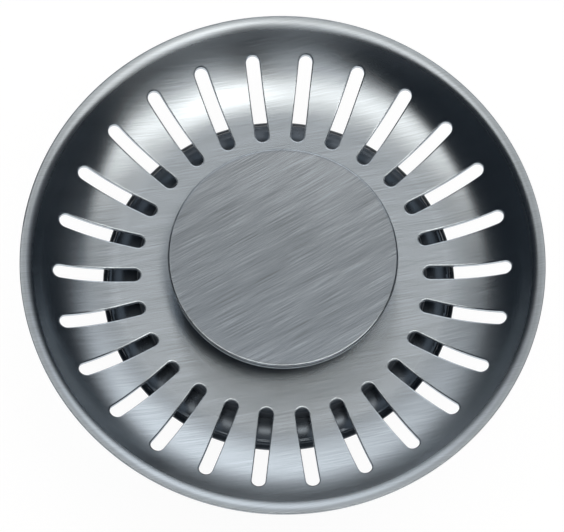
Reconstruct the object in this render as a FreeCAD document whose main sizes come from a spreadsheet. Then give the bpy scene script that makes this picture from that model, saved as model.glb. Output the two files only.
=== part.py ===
import FreeCAD, Part
import math
import os
import re
import Sketcher
from FreeCAD import Vector

# Kitchen-waste strainer plug: slotted dish, flat pull knob, lip seal and a post with a sprung ball catch.
# Z runs up the post. The origin is on the post's axis, halfway up its plain shank.

sizes = {
    # strainer dish, pressed from sheet
    "dish_dia": 83.0,
    "dish_depth": 6.2,
    "dish_sheet": 0.8,
    "wall_angle": 43.6,
    "lip_radius": 3.2,
    "lip_droop": 2.0,
    "slot_count": 26,
    "slot_width": 2.15,
    "slot_length": 13.85,
    "slot_margin": 5.2,
    # knob: pressed cap, moulded core, brass bush and gasket
    "knob_dia": 36.4,
    "knob_height": 8.2,
    "cap_depth": 2.0,
    "cap_sheet": 0.5,
    "cap_bend": 0.1,
    "cap_hem": 1.6,
    "cap_hollow": 0.55,
    "core_rebate": 0.3,
    "neck_dia": 15.0,
    "neck_flare": 2.5,
    "bush_dia": 8.4,
    "bush_flange": 1.2,
    "bush_flange_step": 0.8,
    "bush_cover": 1.5,
    "bush_chamfer": 0.4,
    "gasket_margin": 0.7,
    "gasket_thick": 0.8,
    # carrier and lip seal under the dish
    "carrier_dia": 46.0,
    "carrier_thick": 2.8,
    "carrier_edge": 0.5,
    "spigot_dia": 16.0,
    "seal_dia": 55.4,
    "seal_thick": 4.0,
    "seal_crush": 0.4,
    "seal_lip": 4.1,
    "seal_bow": 6.0,
    "seal_edge": 0.9,
    "seal_undercut": 0.5,
    "seal_hub_dia": 34.0,
    "seal_hub_flare": 3.5,
    "seal_root": 2.2,
    "bead_inset": 0.95,
    "bead_width": 0.5,
    # clamp: washer, spring washer and nut on the stud
    "washer_dia": 24.0,
    "washer_thick": 1.0,
    "washer_edge": 0.2,
    "spring_washer_dia": 11.8,
    "spring_washer_thick": 1.2,
    "spring_washer_split": 0.8,
    "nut_flats": 10.0,
    "nut_thick": 3.0,
    "nut_chamfer": 0.45,
    "nut_chamfer_angle": 30.0,
    # post
    "stud_dia": 6.0,
    "stud_short": 0.6,
    "stud_chamfer": 0.6,
    "thread_clear": 0.05,
    "hole_clear": 0.2,
    "thread_relief": 2.0,
    "shank_dia": 10.0,
    "shank_length": 9.0,
    "shank_chamfer": 0.4,
    "groove_width": 1.5,
    "groove_depth": 0.6,
    "catch_length": 6.0,
    "nose_length": 4.0,
    "nose_dia": 5.6,
    "nose_round": 0.8,
    # ball catch
    "ball_dia": 4.0,
    "ball_clear": 0.05,
    "mouth_stake": 0.15,
    "mouth_wall": 0.7,
    "wire_dia": 0.4,
    "coil_clear": 0.5,
    "coil_pitch": 0.93,
    "seat_clear": 0.03,
    # fits and cuts
    "fit_clear": 0.05,
    "overrun": 1.0,
}

# Sizes that follow from the ones above, in their own words.
derived = {
    # heights up the stack
    "shank_top": "shank_length / 2",
    "nut_base": "shank_top + thread_relief",
    "spring_washer_base": "nut_base + nut_thick",
    "washer_base": "spring_washer_base + spring_washer_thick",
    "seal_base": "washer_base + washer_thick",
    "carrier_base": "seal_base + seal_thick",
    "floor_base": "carrier_base + carrier_thick",
    "floor_top": "floor_base + dish_sheet",
    "neck_base": "floor_top + gasket_thick",
    "cap_base": "floor_top + knob_height - cap_depth",
    "bush_length": "knob_height - gasket_thick - cap_sheet - bush_cover",
    "stud_top": "neck_base + bush_length - stud_short",
    # depths down the post
    "catch_top": "shank_length / 2 + groove_width",
    "catch_base": "catch_top + catch_length",
    "nose_end": "catch_base + nose_length",
    "ball_level": "catch_top + catch_length / 2",
    # radii
    "dish_hole": "stud_dia / 2 + hole_clear",
    "thread_hole": "stud_dia / 2 + thread_clear",
    "wall_radius": "dish_depth / (1 - cos(wall_angle)) - lip_radius",
    "sweep_radius": "wall_radius + lip_radius",
    "lip_centre": "dish_dia / 2 - lip_radius * sin(lip_droop)",
    "floor_radius": "lip_centre - sweep_radius * sin(wall_angle)",
    "lip_height": "dish_sheet + wall_radius - sweep_radius * cos(wall_angle)",
    "slot_outer": "dish_dia / 2 - slot_margin - slot_width / 2",
    "slot_inner": "dish_dia / 2 - slot_margin - slot_length + slot_width / 2",
    "cap_edge": "cap_sheet + cap_bend",
    "cap_flat": "knob_dia / 2 - cap_edge",
    "cap_bowl": "(pow(cap_flat; 2) + pow(cap_hollow; 2)) / (2 * cap_hollow)",
    "bush_flange_radius": "bush_dia / 2 + bush_flange_step",
    "gasket_radius": "neck_dia / 2 + gasket_margin",
    "seal_flat": "seal_dia / 2 - seal_lip",
    "bead_inner": "seal_dia / 2 - bead_inset - bead_width / 2",
    "bead_outer": "seal_dia / 2 - bead_inset + bead_width / 2",
    # ball catch: where the ball meets the edge of its mouth, and the coil meets the ball
    "mouth_plane": "shank_dia / 2 - mouth_wall",
    "mouth_dia": "ball_dia - 2 * mouth_stake",
    "coil_dia": "ball_dia + 2 * ball_clear - 2 * coil_clear - wire_dia",
    "ball_reach": "mouth_plane - seat_clear - sqrt(pow(ball_dia; 2) - pow(mouth_dia; 2)) / 2",
    "coil_seat": "sqrt(pow(ball_dia + wire_dia; 2) - pow(coil_dia; 2)) / 2",
    "coil_reach": "ball_reach - seat_clear - coil_seat",
}

doc = FreeCAD.newDocument("strainer")
sheet = doc.addObject("Spreadsheet::Sheet", "Sizes")
for row, (alias, number) in enumerate(sizes.items(), start=1):
    sheet.set(f"A{row}", alias)
    sheet.set(f"B{row}", str(number))
    sheet.setAlias(f"B{row}", alias)
doc.recompute()


def link(text):
    """The text as an expression on the sheet, with each derived word written out."""

    def word(match):
        name = match.group()
        if name in derived:
            return f"({link(derived[name])})"
        return f"Sizes.{name}" if name in sizes else name

    return re.sub(r"[a-z_]+", word, str(text))


def value(text):
    """The number that the text comes to."""
    return float(sheet.evalExpression(link(text)))


def plane(body, role):
    return next(feature for feature in body.Origin.OriginFeatures if feature.Role == role)


def new_body(label, level="0"):
    body = doc.addObject("PartDesign::Body", label)
    body.Label = label
    body.setExpression("Placement.Base.z", link(level))
    return body


def new_sketch(body, name, role, lift="0"):
    """A sketch on one of the body's own planes, moved along the plane's second axis by lift."""
    sketch = body.newObject("Sketcher::SketchObject", name)
    sketch.AttachmentSupport = [(plane(body, role), "")]
    sketch.MapMode = "FlatFace"
    sketch.setExpression("AttachmentOffset.Base.y", link(lift))
    return sketch


def bind(sketch, constraint, name, text):
    sketch.addConstraint(constraint)
    sketch.renameConstraint(sketch.ConstraintCount - 1, name)
    sketch.setExpression(f"Constraints.{name}", link(text))


def arc_between(start, end, radius, turn):
    """The arc from start to end that bends left (turn 1) or right (turn -1)."""
    half = (end - start) / 2
    rise = math.sqrt(max(radius ** 2 - half.Length ** 2, 0))
    left = Vector(-half.y, half.x, 0).normalize()
    centre = start + half + left * rise * turn
    first, last = (start, end) if turn > 0 else (end, start)
    angles = [math.atan2(p.y - centre.y, p.x - centre.x) for p in (first, last)]
    if angles[1] < angles[0]:
        angles[1] += 2 * math.pi
    return Part.ArcOfCircle(Part.Circle(centre, Vector(0, 0, 1), radius), *angles)


def outline(sketch, corners, tag="p"):
    """A closed outline. A corner is (x, y), or (x, y, radius, turn) where an arc leaves it.

    The arc ends at the next corner, and the radius "half" makes it a half circle.
    """
    points = [Vector(value(corner[0]), value(corner[1]), 0) for corner in corners]
    ends = []
    for number, corner in enumerate(corners):
        start = points[number]
        end = points[(number + 1) % len(points)]
        if len(corner) == 2:
            edge = sketch.addGeometry(Part.LineSegment(start, end))
            ends.append((edge, 1, 2))
            continue
        half = corner[2] == "half"
        radius = start.distanceToPoint(end) / 2 if half else value(corner[2])
        edge = sketch.addGeometry(arc_between(start, end, radius, corner[3]))
        ends.append((edge, 1, 2) if corner[3] > 0 else (edge, 2, 1))
        if half:
            sketch.addConstraint(Sketcher.Constraint("Symmetric", edge, 1, edge, 2, edge, 3))
        else:
            bind(sketch, Sketcher.Constraint("Radius", edge, radius), f"{tag}r{number}", corner[2])
    for number, corner in enumerate(corners):
        edge, first, _ = ends[number]
        before, _, joint = ends[number - 1]
        sketch.addConstraint(Sketcher.Constraint("Coincident", before, joint, edge, first))
        for axis, kind, text in ((-2, "DistanceX", corner[0]), (-1, "DistanceY", corner[1])):
            if str(text) == "0":
                sketch.addConstraint(Sketcher.Constraint("PointOnObject", edge, first, axis))
                continue
            distance = Sketcher.Constraint(kind, -1, 1, edge, first, value(text))
            bind(sketch, distance, f"{tag}{kind[-1].lower()}{number}", text)


def ring(sketch, radius, tag):
    """A circle about the sketch's origin."""
    edge = sketch.addGeometry(Part.Circle(Vector(), Vector(0, 0, 1), value(radius)))
    sketch.addConstraint(Sketcher.Constraint("Coincident", edge, 3, -1, 1))
    bind(sketch, Sketcher.Constraint("Radius", edge, value(radius)), tag, radius)


def feature(body, kind, name, sketch, **properties):
    made = body.newObject(f"PartDesign::{kind}", name)
    made.Profile = sketch
    for key, setting in properties.items():
        setattr(made, key, setting)
    sketch.Visibility = False
    body.Tip = made
    return made


def turned(label, level, corners):
    """A body of revolution about Z, from its half section (radius, height above level)."""
    body = new_body(label, level)
    sketch = new_sketch(body, f"{label}_section", "XZ_Plane")
    outline(sketch, corners)
    feature(body, "Revolution", f"{label}_turned", sketch, ReferenceAxis=(sketch, ["V_Axis"]), Angle=360.0)
    return body


def cut_checked(body, before):
    """A cut that misses its body leaves the volume as it was."""
    doc.recompute()
    if not body.Shape.Volume < before:
        raise RuntimeError(f"{body.Label}: a cut removed nothing")


def strainer_dish():
    """Flat floor, hollow wall and rolled lip as one sheet, then one slot repeated round the axis."""
    body = turned("strainer_dish", "floor_base", [
        ("dish_hole", "0"),
        ("floor_radius", "0", "wall_radius + dish_sheet", 1),
        ("floor_radius + (wall_radius + dish_sheet) * sin(wall_angle)",
         "dish_sheet + wall_radius - (wall_radius + dish_sheet) * cos(wall_angle)",
         "lip_radius - dish_sheet", -1),
        ("lip_centre + (lip_radius - dish_sheet) * sin(lip_droop)",
         "lip_height + (lip_radius - dish_sheet) * cos(lip_droop)"),
        ("lip_centre + lip_radius * sin(lip_droop)",
         "lip_height + lip_radius * cos(lip_droop)", "lip_radius", 1),
        ("floor_radius + wall_radius * sin(wall_angle)",
         "dish_sheet + wall_radius - wall_radius * cos(wall_angle)", "wall_radius", -1),
        ("floor_radius", "dish_sheet"),
        ("dish_hole", "dish_sheet"),
    ])
    doc.recompute()
    solid = body.Shape.Volume
    sketch = new_sketch(body, "slot_outline", "XY_Plane")
    outline(sketch, [
        ("slot_inner", "-slot_width / 2"),
        ("slot_outer", "-slot_width / 2", "half", 1),
        ("slot_outer", "slot_width / 2"),
        ("slot_inner", "slot_width / 2", "half", 1),
    ])
    slot = feature(body, "Pocket", "slot", sketch, Type="ThroughAll", Reversed=True)
    cut_checked(body, solid)
    one_slot = body.Shape.Volume
    slots = body.newObject("PartDesign::PolarPattern", "slots")
    slots.Originals = [slot]
    slots.Axis = (sketch, ["N_Axis"])
    slots.Angle = 360.0
    slots.setExpression("Occurrences", link("slot_count"))
    body.Tip = slots
    cut_checked(body, one_slot)
    return body


def knob_cap():
    """Pressed cap: slightly hollow top, rounded edge, short skirt and a hem turned in under the core."""
    outside = "knob_dia / 2"
    inside = "knob_dia / 2 - cap_sheet"
    return turned("knob_cap", "cap_base", [
        ("0", "cap_depth - cap_sheet - cap_hollow", "cap_bowl", 1),
        ("cap_flat", "cap_depth - cap_sheet", "cap_bend", -1),
        (inside, "cap_depth - cap_edge"),
        (inside, "cap_edge", "cap_bend", -1),
        ("cap_flat", "cap_sheet"),
        (f"{outside} - cap_hem", "cap_sheet"),
        (f"{outside} - cap_hem", "0"),
        ("cap_flat", "0", "cap_edge", 1),
        (outside, "cap_edge"),
        (outside, "cap_depth - cap_edge", "cap_edge", 1),
        ("cap_flat", "cap_depth", "cap_bowl", -1),
        ("0", "cap_depth - cap_hollow"),
    ])


def knob_core():
    """Moulded core: a disc held in the cap, a flared neck, and a stepped socket for the bush."""
    rise = "(cap_base - neck_base)"
    disc_top = f"{rise} + cap_depth - cap_sheet - cap_hollow"
    hem = "knob_dia / 2 - cap_hem - fit_clear"
    rim = "cap_flat - fit_clear"
    rim_top = f"{disc_top} + cap_bowl - sqrt(pow(cap_bowl; 2) - pow({rim}; 2))"
    neck = "neck_dia / 2"
    socket = "bush_dia / 2 + fit_clear"
    flange = "bush_flange_radius + fit_clear"
    return turned("knob_core", "neck_base", [
        (socket, "0"),
        (neck, "0"),
        (neck, f"{rise} - neck_flare + core_rebate", "neck_flare", -1),
        (f"{neck} + neck_flare", f"{rise} + core_rebate"),
        (hem, f"{rise} + core_rebate"),
        (hem, f"{rise} + cap_sheet"),
        (rim, f"{rise} + cap_sheet"),
        (rim, rim_top, "cap_bowl", -1),
        ("0", disc_top),
        ("0", "bush_length"),
        (flange, "bush_length"),
        (flange, "bush_length - bush_flange"),
        (socket, "bush_length - bush_flange"),
    ])


def knob_bush():
    """Flanged brass insert, open from below for the stud."""
    return turned("knob_bush", "neck_base", [
        ("thread_hole + bush_chamfer", "0"),
        ("bush_dia / 2", "0"),
        ("bush_dia / 2", "bush_length - bush_flange"),
        ("bush_flange_radius", "bush_length - bush_flange"),
        ("bush_flange_radius", "bush_length - bush_chamfer"),
        ("bush_flange_radius - bush_chamfer", "bush_length"),
        ("thread_hole", "bush_length"),
        ("thread_hole", "bush_chamfer"),
    ])


def knob_gasket():
    return turned("knob_gasket", "floor_top", [
        ("dish_hole", "0"),
        ("gasket_radius", "0"),
        ("gasket_radius", "gasket_thick"),
        ("dish_hole", "gasket_thick"),
    ])


def seal_carrier():
    """Backing disc with a rounded upper edge and a spigot that centres the seal."""
    spigot_base = "0 - (seal_thick - seal_crush)"
    return turned("seal_carrier", "carrier_base", [
        ("dish_hole", spigot_base),
        ("spigot_dia / 2", spigot_base),
        ("spigot_dia / 2", "0"),
        ("carrier_dia / 2", "0"),
        ("carrier_dia / 2", "carrier_thick - carrier_edge", "carrier_edge", 1),
        ("carrier_dia / 2 - carrier_edge", "carrier_thick"),
        ("dish_hole", "carrier_thick"),
    ])


def rubber_seal():
    """Thick hub, and a lip that bows down and thins outwards to a rounded edge, with a bead along its top."""

    def skin(radius):
        return f"seal_thick - seal_bow + sqrt(pow(seal_bow; 2) - pow({radius} - seal_flat; 2))"

    edge_top = skin("seal_dia / 2")
    return turned("rubber_seal", "seal_base", [
        ("spigot_dia / 2 + fit_clear", "0"),
        ("seal_hub_dia / 2", "0"),
        ("seal_hub_dia / 2 + seal_hub_flare", "seal_thick - seal_root"),
        ("seal_dia / 2 - seal_undercut", f"{edge_top} - seal_edge", "seal_edge", 1),
        ("seal_dia / 2", edge_top, "seal_bow", 1),
        ("bead_outer", skin("bead_outer"), "half", 1),
        ("bead_inner", skin("bead_inner"), "seal_bow", 1),
        ("seal_flat", "seal_thick"),
        ("spigot_dia / 2 + fit_clear", "seal_thick"),
    ])


def seal_washer():
    return turned("seal_washer", "washer_base", [
        ("dish_hole", "0"),
        ("washer_dia / 2 - washer_edge", "0", "washer_edge", 1),
        ("washer_dia / 2", "washer_edge"),
        ("washer_dia / 2", "washer_thick"),
        ("dish_hole", "washer_thick"),
    ])


def lock_washer():
    """Spring washer with its split on +X."""
    body = turned("lock_washer", "spring_washer_base", [
        ("thread_hole", "0"),
        ("spring_washer_dia / 2", "0"),
        ("spring_washer_dia / 2", "spring_washer_thick"),
        ("thread_hole", "spring_washer_thick"),
    ])
    doc.recompute()
    whole = body.Shape.Volume
    sketch = new_sketch(body, "split_outline", "XY_Plane")
    half = "spring_washer_split / 2"
    outline(sketch, [
        ("thread_hole - overrun", f"-{half}"),
        ("spring_washer_dia / 2 + overrun", f"-{half}"),
        ("spring_washer_dia / 2 + overrun", half),
        ("thread_hole - overrun", half),
    ])
    feature(body, "Pocket", "split", sketch, Type="ThroughAll", Reversed=True)
    cut_checked(body, whole)
    return body


def lock_nut():
    """Thin hexagon nut with its corners turned off at both faces."""
    body = new_body("lock_nut", "nut_base")
    corner = "nut_flats / sqrt(3)"
    sketch = new_sketch(body, "nut_outline", "XY_Plane")
    outline(sketch, [(f"{corner} * cos({60 * k + 30})", f"{corner} * sin({60 * k + 30})") for k in range(6)])
    ring(sketch, "thread_hole", "thread")
    pad = feature(body, "Pad", "nut_blank", sketch)
    pad.setExpression("Length", link("nut_thick"))
    doc.recompute()
    blank = body.Shape.Volume
    faces = new_sketch(body, "corner_turning", "XZ_Plane")
    outer = f"{corner} + overrun"
    drop = "(nut_chamfer + overrun) * tan(nut_chamfer_angle)"
    start = f"{corner} - nut_chamfer"
    outline(faces, [(start, "0"), (outer, "0"), (outer, drop)], "low")
    outline(faces, [(start, "nut_thick"), (outer, f"nut_thick - {drop}"), (outer, "nut_thick")], "high")
    feature(body, "Groove", "turned_corners", faces, ReferenceAxis=(faces, ["V_Axis"]), Angle=360.0)
    cut_checked(body, blank)
    return body


def post():
    """Stud, plain shank, relief groove, catch section and tapered nose, with a cross bore for the balls."""
    shank = "shank_dia / 2"
    stud = "stud_dia / 2"
    neck = "shank_dia / 2 - groove_depth"
    body = turned("post", "0", [
        ("0", "-nose_end"),
        ("nose_dia / 2 - nose_round", "-nose_end", "nose_round", 1),
        ("nose_dia / 2", "-nose_end + nose_round"),
        (shank, "-catch_base"),
        (shank, "-catch_top"),
        (neck, "-catch_top"),
        (neck, "-shank_top"),
        (shank, "-shank_top"),
        (shank, "shank_top - shank_chamfer"),
        (f"{shank} - shank_chamfer", "shank_top"),
        (stud, "shank_top"),
        (stud, "stud_top - stud_chamfer"),
        (f"{stud} - stud_chamfer", "stud_top"),
        ("0", "stud_top"),
    ])
    doc.recompute()
    solid = body.Shape.Volume
    sketch = new_sketch(body, "cross_bore_section", "XZ_Plane", "-ball_level")
    bore = "ball_dia / 2 + ball_clear"
    mouth = "mouth_dia / 2"
    end = f"{shank} + overrun"
    outline(sketch, [
        (f"-({end})", "0"),
        (end, "0"),
        (end, mouth),
        ("mouth_plane", mouth),
        ("mouth_plane", bore),
        ("-(mouth_plane)", bore),
        ("-(mouth_plane)", mouth),
        (f"-({end})", mouth),
    ])
    feature(body, "Groove", "cross_bore", sketch, ReferenceAxis=(sketch, ["H_Axis"]), Angle=360.0)
    cut_checked(body, solid)
    return body


def catch_ball(label, side):
    """A ball just inside the staked edge of its mouth, on the side given by the sign."""
    ball = doc.addObject("Part::Sphere", label)
    ball.Label = label
    ball.setExpression("Radius", link("ball_dia / 2"))
    ball.setExpression("Placement.Base.x", link(f"{side} * ball_reach"))
    ball.setExpression("Placement.Base.z", link("-ball_level"))
    return ball


def tangent_arc(start, heading, end):
    """The arc that leaves start along heading and ends at end."""
    chord = end - start
    along = Vector(chord).normalize()
    lean = math.acos(max(-1.0, min(1.0, heading.dot(along))))
    side = (heading - along * heading.dot(along)).normalize()
    middle = start + chord / 2 + side * (chord.Length / 2 * math.tan(lean / 2))
    return Part.Arc(start, middle, end).toShape()


def biarc(start, heading, end, leaving):
    """Two arcs, tangent where they meet, from start along heading to end along leaving."""
    span = end - start
    both = heading + leaving
    spread = 2 * (1 - heading.dot(leaving))
    reach = (math.sqrt(span.dot(both) ** 2 + spread * span.dot(span)) - span.dot(both)) / spread
    meeting = (start + heading * reach + end - leaving * reach) / 2
    first = tangent_arc(start, heading, meeting)
    second = tangent_arc(end, -leaving, meeting)
    return [first, Part.Arc(meeting, second.valueAt(sum(second.ParameterRange) / 2), end).toShape()]


def least_gap(path, wire, turns):
    """The least distance between neighbouring turns of the wire, measured on points of its path."""
    steps = 48
    points = path.discretize(Number=int(steps * turns) + 1)
    apart = steps * 3 // 4
    pairs = ((a, b) for k, a in enumerate(points) for b in points[k + apart:])
    return min(a.distanceToPoint(b) for a, b in pairs) - wire


def detent_spring():
    """One coil of round wire along X, each quarter turn a pair of arcs."""
    reach = value("coil_reach")
    radius = value("coil_dia / 2")
    quarters = round(4 * 2 * reach / value("coil_pitch"))
    turns = quarters / 4
    climb = 2 * reach / (2 * math.pi * turns)

    def place(k):
        angle = 2 * math.pi * turns * k / quarters
        return Vector(climb * angle - reach, radius * math.cos(angle), radius * math.sin(angle))

    def heading(k):
        angle = 2 * math.pi * turns * k / quarters
        return Vector(climb, -radius * math.sin(angle), radius * math.cos(angle)).normalize()

    edges = []
    for k in range(quarters):
        edges += biarc(place(k), heading(k), place(k + 1), heading(k + 1))
    path = Part.Wire(edges)
    section = Part.Wire(Part.Circle(place(0), heading(0), value("wire_dia / 2")).toShape())
    shell = Part.BRepOffsetAPI.MakePipeShell(path)
    shell.add(section)
    shell.build()
    shell.makeSolid()
    spring = doc.addObject("Part::Feature", "detent_spring")
    spring.Label = "detent_spring"
    spring.Shape = shell.shape()
    spring.Placement = FreeCAD.Placement(Vector(0, 0, -value("ball_level")), FreeCAD.Rotation())
    print(f"detent_spring: least gap between turns {least_gap(path, value('wire_dia'), turns):.2f} mm")
    return spring


pieces = [
    strainer_dish(),
    knob_cap(),
    knob_core(),
    knob_bush(),
    knob_gasket(),
    seal_carrier(),
    rubber_seal(),
    seal_washer(),
    lock_washer(),
    lock_nut(),
    post(),
    catch_ball("ball_left", -1),
    catch_ball("ball_right", 1),
    detent_spring(),
]
doc.recompute()

for item in doc.Objects:
    if "Invalid" in item.State or "Error" in item.State:
        raise RuntimeError(f"{item.Label} failed: {item.State}")
for piece in pieces:
    if piece.Shape.isNull() or not piece.Shape.isValid():
        raise RuntimeError(f"{piece.Label} has no valid shape")

os.makedirs("parts", exist_ok=True)
for piece in pieces:
    piece.Shape.exportStep(f"parts/{piece.Label}.step")
    print(f"{piece.Label}: {piece.Shape.Volume:.1f} mm3, {len(piece.Shape.Solids)} solid")
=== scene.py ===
import math

import bmesh
import bpy
import numpy as np
from mathutils import Matrix, Vector


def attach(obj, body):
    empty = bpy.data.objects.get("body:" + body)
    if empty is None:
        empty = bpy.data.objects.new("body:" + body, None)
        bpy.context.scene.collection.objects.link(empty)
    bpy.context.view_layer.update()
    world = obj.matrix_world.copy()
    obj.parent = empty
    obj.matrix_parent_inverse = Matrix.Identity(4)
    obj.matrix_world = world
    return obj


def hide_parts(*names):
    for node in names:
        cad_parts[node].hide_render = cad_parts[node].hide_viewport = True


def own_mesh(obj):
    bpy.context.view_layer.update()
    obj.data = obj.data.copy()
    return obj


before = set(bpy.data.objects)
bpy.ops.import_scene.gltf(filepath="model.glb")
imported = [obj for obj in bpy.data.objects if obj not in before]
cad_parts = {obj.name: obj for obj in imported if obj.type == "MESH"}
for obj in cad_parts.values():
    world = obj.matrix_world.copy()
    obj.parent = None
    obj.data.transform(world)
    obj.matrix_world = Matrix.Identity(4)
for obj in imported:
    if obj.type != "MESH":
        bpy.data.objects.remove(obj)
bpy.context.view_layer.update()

mm = 0.001  # pieces are worked out in millimetres and put into the mesh in metres
weld = 0.002  # border points nearer than this become one
grainChart = {"acrossLean": 0.31, "alongLean": 0.17, "scale": 0.01}
print("frame: loaded", len(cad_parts), "nodes")


# a patch is (points, facings), both rows x columns x 3, and may carry a leading axis of repeats
# quads run along the columns first and then the rows, so that side is the outside
def patchQuads(count, rows, columns):
    index = np.arange(count * rows * columns).reshape(count, rows, columns)
    corners = [index[:, :-1, :-1], index[:, :-1, 1:], index[:, 1:, 1:], index[:, 1:, :-1]]
    return np.stack(corners, -1).reshape(-1, 4)


# one piece from patches that meet edge to edge: their shared border points are welded
def makePiece(name, patches, material, grain=0.0, crease=None):
    points, facings, quads, start = [], [], [], 0
    for place, facing in patches:
        facings.append(np.broadcast_to(facing, place.shape).reshape(-1, 3))
        place = place.reshape(-1, *place.shape[-3:])
        quads.append(patchQuads(*place.shape[:3]) + start)
        points.append(place.reshape(-1, 3))
        start += len(points[-1])
    mesh = bpy.data.meshes.new(name)
    mesh.from_pydata(np.concatenate(points) * mm, [], np.concatenate(quads))
    keep = mesh.attributes.new("facing", "FLOAT_VECTOR", "POINT")
    keep.data.foreach_set("vector", np.concatenate(facings).astype(np.float32).ravel())
    shell = bmesh.new()
    shell.from_mesh(mesh)
    bmesh.ops.remove_doubles(shell, verts=shell.verts, dist=weld * mm)
    shell.to_mesh(mesh)
    shell.free()
    mesh.shade_smooth()
    if crease is None:  # the worked-out facings, so that reflections run true across the quads
        facing = np.empty(len(mesh.vertices) * 3, np.float32)
        mesh.attributes["facing"].data.foreach_get("vector", facing)
        mesh.normals_split_custom_set_from_vertices(facing.reshape(-1, 3))
    else:
        mesh.set_sharp_from_angle(angle=math.radians(crease))
    mesh.attributes.remove(mesh.attributes["facing"])
    layGrain(mesh, grain)
    mesh.materials.append(material)
    piece = bpy.data.objects.new(name, mesh)
    bpy.context.scene.collection.objects.link(piece)
    return piece


# flat map over the piece: U across the brushing, V along it, both leaning a little on height
def layGrain(mesh, grain):
    corner = np.empty(len(mesh.loops), np.int32)
    mesh.loops.foreach_get("vertex_index", corner)
    spot = np.empty(len(mesh.vertices) * 3, np.float32)
    mesh.vertices.foreach_get("co", spot)
    x, y, z = spot.reshape(-1, 3)[corner].T / mm
    turn = math.radians(grain)
    across = y * math.cos(turn) - x * math.sin(turn) + grainChart["acrossLean"] * z
    along = x * math.cos(turn) + y * math.sin(turn) + grainChart["alongLean"] * z
    flat = np.stack([across, along], -1).astype(np.float32).ravel()
    mesh.uv_layers.new(name="grain").uv.foreach_set("vector", flat * grainChart["scale"])


def settle(piece, body, slotName, *nodes):
    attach(piece, body)
    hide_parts(*nodes)
    print("piece:", piece.name, len(piece.data.polygons), "faces")


# unit direction at an angle: its cosine and its sine
def ray(angle):
    return np.stack([np.cos(angle), np.sin(angle)], -1)


# points from radius, turn and height: radius times the cosine and sine of the turn, height kept
def around(radius, turn, height):
    return np.stack(np.broadcast_arrays(radius * np.cos(turn), radius * np.sin(turn), height), -1)


# loop round a rectangle of two measures: out along the first, up the second, back and down again
def loopRound(first, second, long, short):
    out = np.linspace(*first, long, endpoint=False)
    up = np.linspace(*second, short, endpoint=False)
    return (np.concatenate([out, np.full(short, first[1]), sum(first) - out, np.full(short, first[0])]),
            np.concatenate([np.full(long, second[0]), up, np.full(long, second[1]), sum(second) - up]))


# a loop with its first point again at the end
def closeLoop(loop):
    return np.append(loop, loop[:1], 0)


# corners (radius, height, fillet) of a half section, with the solid on the left of the path:
# each corner becomes an arc whose facing swings from one side's outward direction to the next
def filletProfile(corners, closed=True, steps=6):
    rows = np.array(corners, float)
    spot, fillet = rows[:, :2], rows[:, 2]
    comeIn = spot - np.roll(spot, 1, 0)
    comeIn /= np.linalg.norm(comeIn, axis=1, keepdims=True)
    goOut = np.roll(comeIn, -1, 0)
    cross = comeIn[:, 0] * goOut[:, 1] - comeIn[:, 1] * goOut[:, 0]
    turn = np.arctan2(cross, (comeIn * goOut).sum(1))
    start = spot - comeIn * (fillet * np.tan(np.abs(turn) / 2))[:, None]
    lean = np.arctan2(-comeIn[:, 0], comeIn[:, 1])
    if not closed:  # the two ends keep one facing each
        lean[0] = np.arctan2(-goOut[0, 0], goOut[0, 1])
        turn[0] = turn[-1] = 0.0
        start[0], start[-1] = spot[0], spot[-1]
    facing = ray(lean[:, None] + turn[:, None] * np.linspace(0, 1, steps))
    place = start[:, None] + (np.sign(turn) * fillet)[:, None, None] * (facing - facing[:, :1])
    place, facing = place.reshape(-1, 2), facing.reshape(-1, 2)
    return (closeLoop(place), closeLoop(facing)) if closed else (place, facing)


# corners of a flat ring, from the lower inner one round, each with its own fillet
def ringCorners(ring):
    low, high = ring["base"], ring["base"] + ring["thick"]
    inner, outer = ring["bore"], ring["radius"]
    spots = (inner, low), (outer, low), (outer, high), (inner, high)
    return [(*spot, fillet) for spot, fillet in zip(spots, ring["edges"])]


# a half section's places and facings carried round the Z axis
def latheGrid(profile, columns, first=0.0):
    turn = first + np.linspace(0, 2 * np.pi, columns + 1)
    return tuple(around(side[:, :1], turn, side[:, 1:]) for side in profile)


# sockets of a node by label: an output is linked to the socket, a constant is set on it
def feed(tree, node, sockets):
    for label, setting in sockets.items():
        if isinstance(setting, bpy.types.NodeSocket):
            tree.links.new(setting, node.inputs[label])
        else:
            node.inputs[label].default_value = setting


# a new node with its settings and sockets, of which only the outputs are needed later
def addNode(tree, kind, sockets=None, **settings):
    node = tree.nodes.new(kind)
    for key, setting in settings.items():
        setattr(node, key, setting)
    feed(tree, node, sockets or {})
    return node.outputs


def mathNode(tree, operation, *values, clamp=False):
    return addNode(tree, "ShaderNodeMath", dict(enumerate(values)), operation=operation, use_clamp=clamp)[0]


# the first value by its share and the second by the rest
def blend(tree, first, second, share):
    return mathNode(tree, "MULTIPLY_ADD", first, share, mathNode(tree, "MULTIPLY", second, 1 - share))


# a value moved towards a goal by a share of the way
def shift(tree, value, goal, share):
    return mathNode(tree, "MULTIPLY_ADD", mathNode(tree, "SUBTRACT", goal, value), share, value)


# 0 to 1 spread from low to high
def between(tree, value, low, high):
    return addNode(tree, "ShaderNodeMapRange", {"Value": value, "To Min": low, "To Max": high})["Result"]


# 0 up to the start, 1 from the end on
def rise(tree, value, start, end):
    sockets = {"Value": value, "From Min": start, "From Max": end}
    return addNode(tree, "ShaderNodeMapRange", sockets, interpolation_type="SMOOTHSTEP")["Result"]


# tone between 0 and 1 spread over the look's two colours, with a margin at both ends
def spread(tree, tone, look, margin=0.0):
    ramp = tree.nodes.new("ShaderNodeValToRGB")
    colours = look["dark"], look["light"]
    for stop, position, colour in zip(ramp.color_ramp.elements, (margin, 1 - margin), colours):
        stop.position = position
        stop.color = (*colour, 1.0)
    feed(tree, ramp, {"Fac": tone})
    return ramp.outputs["Color"]


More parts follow.
